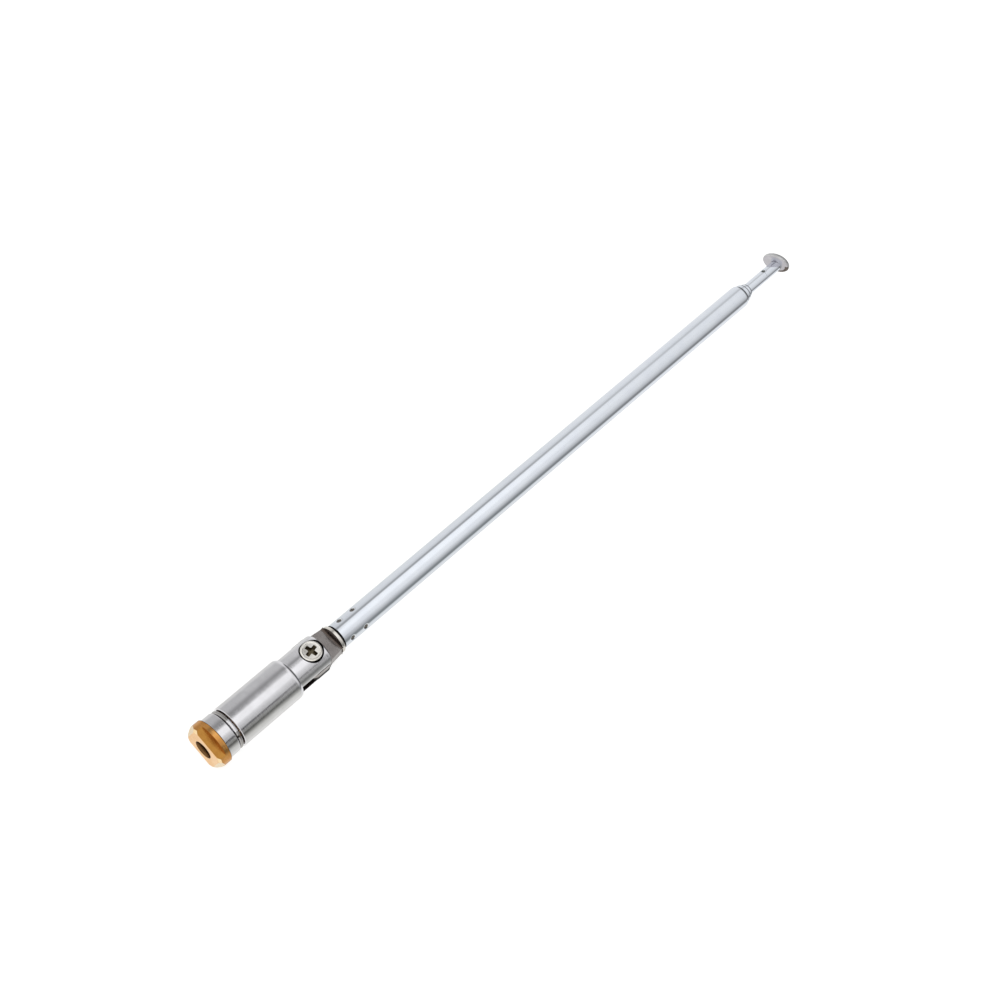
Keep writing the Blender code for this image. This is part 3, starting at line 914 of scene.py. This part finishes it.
def pivot_screw():
    dish = SCREW_HEAD_TOP - DISH_DEPTH
    crown = []
    for k in range(DISH_STEPS + 1):
        share = 1 - k / DISH_STEPS
        crown.append((dish + DISH_CROWN * (1 - share * share), DISH_RADIUS * share))
    outline = [
        (SCREW_END, 0),
        (SCREW_END, SCREW_RADIUS, SCREW_TIP_EDGE),
        (SCREW_HEAD_BOTTOM, SCREW_RADIUS),
        (SCREW_HEAD_BOTTOM, SCREW_HEAD_RADIUS, SCREW_UNDER_EDGE),
        (SCREW_HEAD_TOP - SCREW_EDGE, SCREW_HEAD_RADIUS, SCREW_RIM_EDGE),
        (SCREW_HEAD_TOP, SCREW_HEAD_RADIUS - 0.22, SCREW_EDGE),
        (SCREW_HEAD_TOP - 0.02, DISH_RADIUS + 0.18, SCREW_EDGE),
        (dish, DISH_RADIUS + 0.04, SCREW_EDGE),
        *crown,
    ]
    bottom = SCREW_HEAD_TOP - CROSS_DEPTH
    top = SCREW_HEAD_TOP + GAP
    cross = prism(cross_outline(), bottom, top, ROLL_FRAME, CROSS_TAPER)
    mesh = combined(turned(rounded(outline), ROUND, PIVOT_FRAME), ("DIFFERENCE", cross))
    to_roll = ROLL_FRAME.inverted()
    axis = ROLL_FRAME.to_3x3() @ Vector((0, 0, 1))

    # The cross recess is painted dark as shade
    def in_cross(centre, normal):
        local = to_roll @ centre
        inside = local.xy.length < DISH_RADIUS and bottom - TOUCH < local.z
        return inside and (normal.dot(axis) < 0.7 or local.z < bottom + 0.05)

    # The side of the screw head, down in the counterbore, is painted near black as shade
    def on_side(centre, normal):
        local = to_roll @ centre
        return local.xy.length > SCREW_HEAD_RADIUS - 0.06 and local.z < SCREW_HEAD_TOP - 0.2

    piece("cross_head_screw", mesh, "pivot_screw", SCREW, (CROSS_SHADE, in_cross), (GROOVE_SHADE, on_side))


def knuckle():
    spigot_end = span("knuckle")[1]
    spigot = TUBE_RADII[0] - TUBE_WALL - GAP
    outline = [
        (RIM_START - RIM_ALLOWANCE, 0),
        (RIM_START - RIM_ALLOWANCE, RIM_RADIUS),
        (RIM_END, RIM_RADIUS, RIM_EDGE),
        (RIM_END, spigot),
        (spigot_end, spigot, RIM_EDGE),
        (spigot_end, 0),
    ]
    side = math.degrees(math.asin(TONGUE_HALF_WIDTHS[0] / TONGUE_END_RADIUS))
    radii = (TONGUE_END_RADIUS, TONGUE_END_RADIUS)
    upper_side = list(zip(TONGUE_REACHES, TONGUE_HALF_WIDTHS))
    upper_side.append((RIM_START + RIM_ALLOWANCE - PIVOT_ALONG, TONGUE_HALF_WIDTHS[-1]))
    lower_side = [(reach, -half) for reach, half in upper_side]
    tongue = arc((0, 0), radii, 180 - side, 180 + side, 2 * ARC_STEPS)
    tongue += lower_side + upper_side[::-1]
    half = TONGUE_BLANK / 2
    clear = 2 * RIM_RADIUS
    face, wall = TONGUE_THICKNESS / 2, RIM_START - PIVOT_ALONG
    corner = (wall - MILL_FILLET, face + MILL_FILLET)
    fillet = arc(corner, (MILL_FILLET, MILL_FILLET), -90, 0, MILL_STEPS)
    mill = [(-clear, face), *fillet, (wall, clear), (-clear, clear)]
    steps = [("UNION", prism(tongue, -half, half, ROLL_FRAME))]
    for turn_deg in (90, -90):
        mill_frame = ROLL_FRAME @ Matrix.Rotation(math.radians(turn_deg), 4, "X")
        steps.append(("DIFFERENCE", prism(mill, -clear, clear, mill_frame)))
    hole = [(-clear, 0), (-clear, SCREW_HOLE_RADIUS), (clear, SCREW_HOLE_RADIUS), (clear, 0)]
    steps.append(("DIFFERENCE", turned(hole, SMALL_HOLE_ROUND, PIVOT_FRAME)))
    shade_top = TONGUE_SHADE - face
    mesh = sliced(combined(turned(rounded(outline)), *steps), ROLL_FRAME, shade_top)
    to_roll = ROLL_FRAME.inverted()
    axis = ROLL_FRAME.to_3x3() @ Vector((0, 0, 1))

    # The lower strip of the tongue's side is painted near black as shade
    def on_lower_edge(centre, normal):
        in_fork = centre.x < PIVOT_ALONG + TONGUE_REACHES[1]
        on_tongue = in_fork and abs(normal.dot(axis)) < 0.3
        return on_tongue and (to_roll @ centre).z < shade_top

    # The rim is painted lighter as a highlight
    def on_rim(centre, normal):
        return centre.x > RIM_START + 2 * TOUCH and centre.yz.length > TUBE_RADII[0] + 0.1

    # The milled wall is painted dark as shade
    def on_mill_wall(centre, normal):
        return centre.x > RIM_START - MILL_FILLET - 2 * TOUCH and abs(normal.x) > 0.25

    areas = ((RIM_HIGHLIGHT, on_rim), (BROWN_SHADE, on_mill_wall), (GROOVE_SHADE, on_lower_edge))
    piece("nickel_knuckle", mesh, "knuckle", NICKEL, *areas)


# ---------------------------------------------------------------- whip


def tube(section):
    node = f"tube_{section + 1}"
    start, mouth = span(node)
    radius = TUBE_RADII[section]
    inner = (*TUBE_RADII, ROD_RADIUS)[section + 1] + GAP
    bore, rounding = radius - TUBE_WALL, MOUTH_ROUNDS[section]
    lip = inner + GAP + MOUTH_GROOVE
    wall = [(start, radius, TUBE_EDGE)]
    if section == 0:
        shoulder = start + START_GROOVE
        floor = radius - START_GROOVE_DEPTH
        wall = [(start, floor), (shoulder, floor), (shoulder, radius, START_GROOVE_EDGE)]
        low, high = DIMPLE_ZONE
        step = (high - low) / DIMPLE_STEPS
        wall += [(low + step * k, radius) for k in range(DIMPLE_STEPS + 1)]
    outline = [
        (start, bore),
        *wall,
        *arc((mouth - rounding, lip), (rounding, radius - lip), 90, 0, ARC_STEPS),
        (mouth - MOUTH_GROOVE, inner),
        (mouth - MOUTH_LENGTH / 2, inner),
        (mouth - MOUTH_LENGTH, bore),
    ]
    mesh = turned(rounded(outline), DIMPLE_ROUND if section == 0 else ROUND)
    dimples = []
    if section == 0:
        for along in DIMPLE_ALONG:
            dimples += [on_surface(along, turn_deg, radius) for turn_deg in DIMPLE_TURNS_DEG]
    for middle in dimples:
        dent(mesh, middle, DIMPLE_RADIUS, DIMPLE_DEPTH)

    # The grooves at the tube's ends are painted near black as shade
    def in_groove(centre, normal):
        at_start = section == 0 and centre.x < start + START_GROOVE + TOUCH / 10
        return at_start or (centre.x > mouth - MOUTH_GROOVE and normal.yz.dot(centre.yz) < 0)

    # The middle of each dimple is painted dark as shade
    def in_dimple(centre, normal):
        dark = DIMPLE_DARK_SHARE * DIMPLE_RADIUS
        return any((centre - middle).length < dark for middle in dimples)

    areas = ((GROOVE_SHADE, in_groove), (DIMPLE_SHADE, in_dimple))
    piece(f"chrome_tube_{section + 1}", mesh, node, CHROME, *areas)


CRIMP_CENTRE = on_surface(span("rod_4")[1] + CRIMP_OFFSET, CRIMP_TURN_DEG, ROD_RADIUS)


# The middle of the crimp's dent, painted dark as shade
def in_crimp(centre, normal):
    return (centre - CRIMP_CENTRE).length < CRIMP_RADIUS * CRIMP_DARK_SHARE


def rod():
    start, end = span("rod_4")
    zone = end - CRIMP_ZONE - GAP
    steps = CRIMP_STEPS[0]
    outline = [
        (start, ROD_HOLE_RADIUS),
        (start, ROD_RADIUS, TUBE_EDGE),
        *[(zone + CRIMP_ZONE * k / steps, ROD_RADIUS) for k in range(steps + 1)],
        (end, ROD_RADIUS - ROD_SEAM_DEPTH),
        (end, ROD_HOLE_RADIUS),
        (end - ROD_HOLE_DEPTH, ROD_HOLE_RADIUS),
        (end - ROD_HOLE_DEPTH, 0),
        (start + ROD_HOLE_DEPTH, 0),
        (start + ROD_HOLE_DEPTH, ROD_HOLE_RADIUS),
    ]
    mesh = turned(rounded(outline))
    dent(mesh, CRIMP_CENTRE, CRIMP_RADIUS, CRIMP_DEPTH)
    piece("chrome_rod", mesh, "rod_4", CHROME, (CRIMP_SHADE, in_crimp))


def tip_cap():
    start = span("tip_cap")[0]
    rod_end = span("rod_4")[1]
    spigot = ROD_HOLE_RADIUS - GAP
    zone = rod_end + CRIMP_STEM_START
    steps = CRIMP_STEPS[1]
    stem = [
        (start, 0),
        (start, spigot),
        (rod_end + GAP, spigot),
        (rod_end + GAP, ROD_RADIUS, SEAM_EDGE),
        *[(zone + CRIMP_ZONE * k / steps, ROD_RADIUS) for k in range(steps + 1)],
        (CAP_FOOT + CAP_SEAT_DEPTH, ROD_RADIUS),
        (CAP_FOOT + CAP_SEAT_DEPTH, 0),
    ]
    head = [
        (0, 0),
        (0, CAP_UNDERSIDE_RADIUS - CAP_EDGE),
        (0, CAP_UNDERSIDE_RADIUS, 0.1),
        (CAP_RIM / 2, CAP_RADIUS - 0.05, 0.15),
        *arc((CAP_RIM, 0), (CAP_DOME, CAP_RADIUS), 90, 0, 2 * ARC_STEPS)[:-1],
        (CAP_RIM + CAP_DOME, 0),
    ]
    elevation = math.radians(CAP_TILT_ELEVATION_DEG)
    hinge = Vector((0, -math.sin(elevation), math.cos(elevation)))
    tilt = Matrix.Rotation(math.radians(CAP_TILT_DEG), 4, hinge)
    seat = Matrix.Translation((CAP_FOOT, *CAP_OFFSET)) @ tilt
    to_seat = seat.inverted()
    shank = turned(rounded(stem))
    dent(shank, CRIMP_CENTRE, CRIMP_RADIUS, CRIMP_DEPTH)
    mesh = combined(shank, ("UNION", turned(rounded(head), ROUND, seat)))

    def on_head(centre, normal):
        return centre.yz.length > ROD_RADIUS + 0.02 or centre.x > CAP_FOOT + 0.6

    # Painted shade along the lower side of the cap's underside edge
    def on_low_edge(centre, normal):
        local = to_seat @ centre
        outside = local.yz.length > CAP_UNDERSIDE_RADIUS - CAP_EDGE + TOUCH
        below = local.yz.normalized().dot(CAP_LOW_SIDE) > CAP_LOW_REACH
        return outside and below and local.x < CAP_RIM / 2

    # The dome is rougher satin, and painted lighter as a highlight
    def on_dome(centre, normal):
        local = to_seat @ centre
        on_crown = local.x > CAP_RIM / 2 and local.yz.length > CAP_CENTRE_MARK
        return on_crown and on_head(centre, normal)

    areas = [(CRIMP_SHADE, in_crimp), (BROWN_SHADE, on_low_edge), (DOME_HIGHLIGHT, on_dome), (CAP, on_head)]
    piece("mushroom_cap", mesh, "tip_cap", CHROME, *areas)


# ---------------------------------------------------------------- studio

DISTANCE = 0.3737
LENS = 57.6
TARGET_ALONG = 91.4
TOWARDS_CAMERA = Vector((-0.4863, -0.4345, 0.758)).normalized()
FRAMING = Vector((0, -0.867, -0.497)) * 0.20 * MM
ROLL_DEG = 0.06
TABLE_HALF = 1.5
TABLE_GREY = 0.42
TABLE_GLOW = 0.80
WHITE = (1.0, 1.0, 1.0)


def camera():
    made = bpy.data.objects.new("camera", bpy.data.cameras.new("camera"))
    bpy.context.scene.collection.objects.link(made)
    made.data.lens = LENS
    made.data.clip_start = 10 * MM
    target = Vector((INSERT_LOW.x + TARGET_ALONG * MM, 0, AXIS_HEIGHT)) + FRAMING
    made.location = target + TOWARDS_CAMERA * DISTANCE
    roll = Quaternion((0, 0, 1), math.radians(ROLL_DEG))
    made.rotation_euler = ((-TOWARDS_CAMERA).to_track_quat("-Z", "Y") @ roll).to_euler()
    bpy.context.scene.camera = made


def light_table():
    """A pale table lit faintly from below; metal reflects the studio and not the table."""
    bm = bmesh.new()
    bmesh.ops.create_grid(bm, x_segments=8, y_segments=8, size=TABLE_HALF)
    table = bpy.data.objects.new("light_table", as_mesh(bm))
    bpy.context.scene.collection.objects.link(table)
    table.visible_glossy = False
    table.visible_shadow = False
    material = bpy.data.materials.new("white_acrylic")
    graph = Graph(material)
    output = graph.add("ShaderNodeOutputMaterial")
    shader = graph.add("ShaderNodeBsdfPrincipled", Roughness=0.6)
    shader.inputs["Base Color"].default_value = (TABLE_GREY, TABLE_GREY, TABLE_GREY, 1.0)
    shader.inputs["Specular IOR Level"].default_value = 0.0
    shader.inputs["Emission Color"].default_value = (*WHITE, 1.0)
    shader.inputs["Emission Strength"].default_value = TABLE_GLOW
    graph.link(shader.outputs[0], output.inputs[0])
    table.data.materials.append(material)


# The wall behind the base and the dark one beyond the tip, and where each look takes over from the
# one before it, as ranges of the direction's X component
BEHIND = (0.97, 0.96, 0.94)
NEAR_FROM = (-0.2, 0.1)
FAR_FROM = (0.315, 0.39)
TIP_FROM = (0.47, 0.60)
END_WALL_FROM = (0.74, 0.84)
END_WALL = (0.12, 0.12, 0.12)

# Brightness seen by the sleeve, by the tubes and by the tip, as (degrees, value) about the X axis:
# 0 is the -Y horizon, 90 straight up and 180 the +Y horizon
NEAR_BANDS = (
    (-180, (0.68, 0.68, 0.67)),
    (-80, (0.82, 0.82, 0.79)),
    (-40, (0.64, 0.64, 0.60)),
    (-27, (0.42, 0.42, 0.39)),
    (-20, (0.22, 0.22, 0.20)),
    (-13, (0.10, 0.10, 0.09)),
    (-8, (0.12, 0.12, 0.11)),
    (-4, (0.25, 0.25, 0.23)),
    (8, (0.25, 0.25, 0.24)),
    (11, (0.07, 0.07, 0.07)),
    (17, (0.07, 0.07, 0.07)),
    (21, (0.46, 0.46, 0.46)),
    (32, 0.53),
    (45, 0.74),
    (54, 1.0),
    (80, 1.0),
    (91, 0.40),
    (97, 0.27),
    (112, 0.29),
    (135, 0.48),
    (178, 0.54),
)
FAR_BANDS = (
    (-180, (0.78, 0.79, 0.78)),
    (-60, (0.84, 0.84, 0.83)),
    (-42, (0.70, 0.71, 0.70)),
    (-34, (0.24, 0.25, 0.25)),
    (-18, (0.25, 0.26, 0.26)),
    (-4, 0.46),
    (14, 0.68),
    (30, 0.84),
    (50, 0.90),
    (66, 1.03),
    (90, 1.03),
    (100, 0.96),
    (110, 0.36),
    (119, 0.40),
    (128, 0.66),
    (150, 0.78),
    (178, 0.79),
)
TIP_BANDS = (
    (-180, 0.84),
    (-60, 0.90),
    (-42, 0.76),
    (-34, 0.24),
    (-18, 0.26),
    (-4, 0.52),
    (14, 0.66),
    (30, 0.76),
    (50, 0.80),
    (66, 0.84),
    (90, 0.84),
    (100, 0.80),
    (110, 0.58),
    (119, 0.60),
    (128, 0.74),
    (150, 0.82),
    (178, 0.82),
)


def studio_ramp(graph, angle, bands):
    """Brightness by the angle about the antenna, from bands of (degrees, value)."""
    stops = [((degrees + 180) / 360, value) for degrees, value in bands]
    return graph.ramp(angle, stops)


def studio():
    """A large softbox overhead, a dark far wall and pale sides, as bands about the X axis."""
    world = bpy.data.worlds.new("studio")
    bpy.context.scene.world = world
    graph = Graph(world)
    output = graph.add("ShaderNodeOutputWorld")
    background = graph.add("ShaderNodeBackground")
    graph.link(background.outputs[0], output.inputs[0])
    direction = graph.add("ShaderNodeTexCoord")
    parts = graph.add("ShaderNodeSeparateXYZ")
    graph.link(direction.outputs["Generated"], parts.inputs[0])
    across = graph.math("MULTIPLY", parts.outputs["Y"], -1.0)
    turn = graph.math("ARCTAN2", parts.outputs["Z"], across)
    angle = graph.math("MULTIPLY_ADD", turn, 0.5 / math.pi, 0.5)
    near = studio_ramp(graph, angle, NEAR_BANDS)
    far = studio_ramp(graph, angle, FAR_BANDS)
    tip = studio_ramp(graph, angle, TIP_BANDS)

    def beyond(low, high):
        """0 to 1 as the direction's X component goes from low to high."""
        share = graph.add("ShaderNodeMapRange", interpolation_type="SMOOTHSTEP")
        share.inputs["From Min"].default_value = low
        share.inputs["From Max"].default_value = high
        graph.link(parts.outputs["X"], share.inputs["Value"])
        return share.outputs[0]

    lit = graph.mix(beyond(*NEAR_FROM), BEHIND, near)
    lit = graph.mix(beyond(*FAR_FROM), lit, far)
    lit = graph.mix(beyond(*TIP_FROM), lit, tip)
    lit = graph.mix(beyond(*END_WALL_FROM), lit, END_WALL)
    path = graph.add("ShaderNodeLightPath")
    seen = graph.mix(path.outputs["Is Camera Ray"], lit, WHITE)
    graph.link(seen, background.inputs["Color"])


def carried_over():
    """The pieces inside the antenna keep their CAD shapes."""
    for node, made in frame["nodes"].items():
        if not made.hide_render:
            made.data.materials.clear()
            made.data.materials.append(FINISHES[SLOTS[node]])


camera()
threaded_insert()
base_collar()
swivel_ring()
outer_sleeve()
fork()
pivot_screw()
knuckle()
for number in range(len(TUBE_RADII)):
    tube(number)
rod()
tip_cap()
carried_over()
light_table()
studio()
bpy.context.scene.view_settings.view_transform = "Standard"
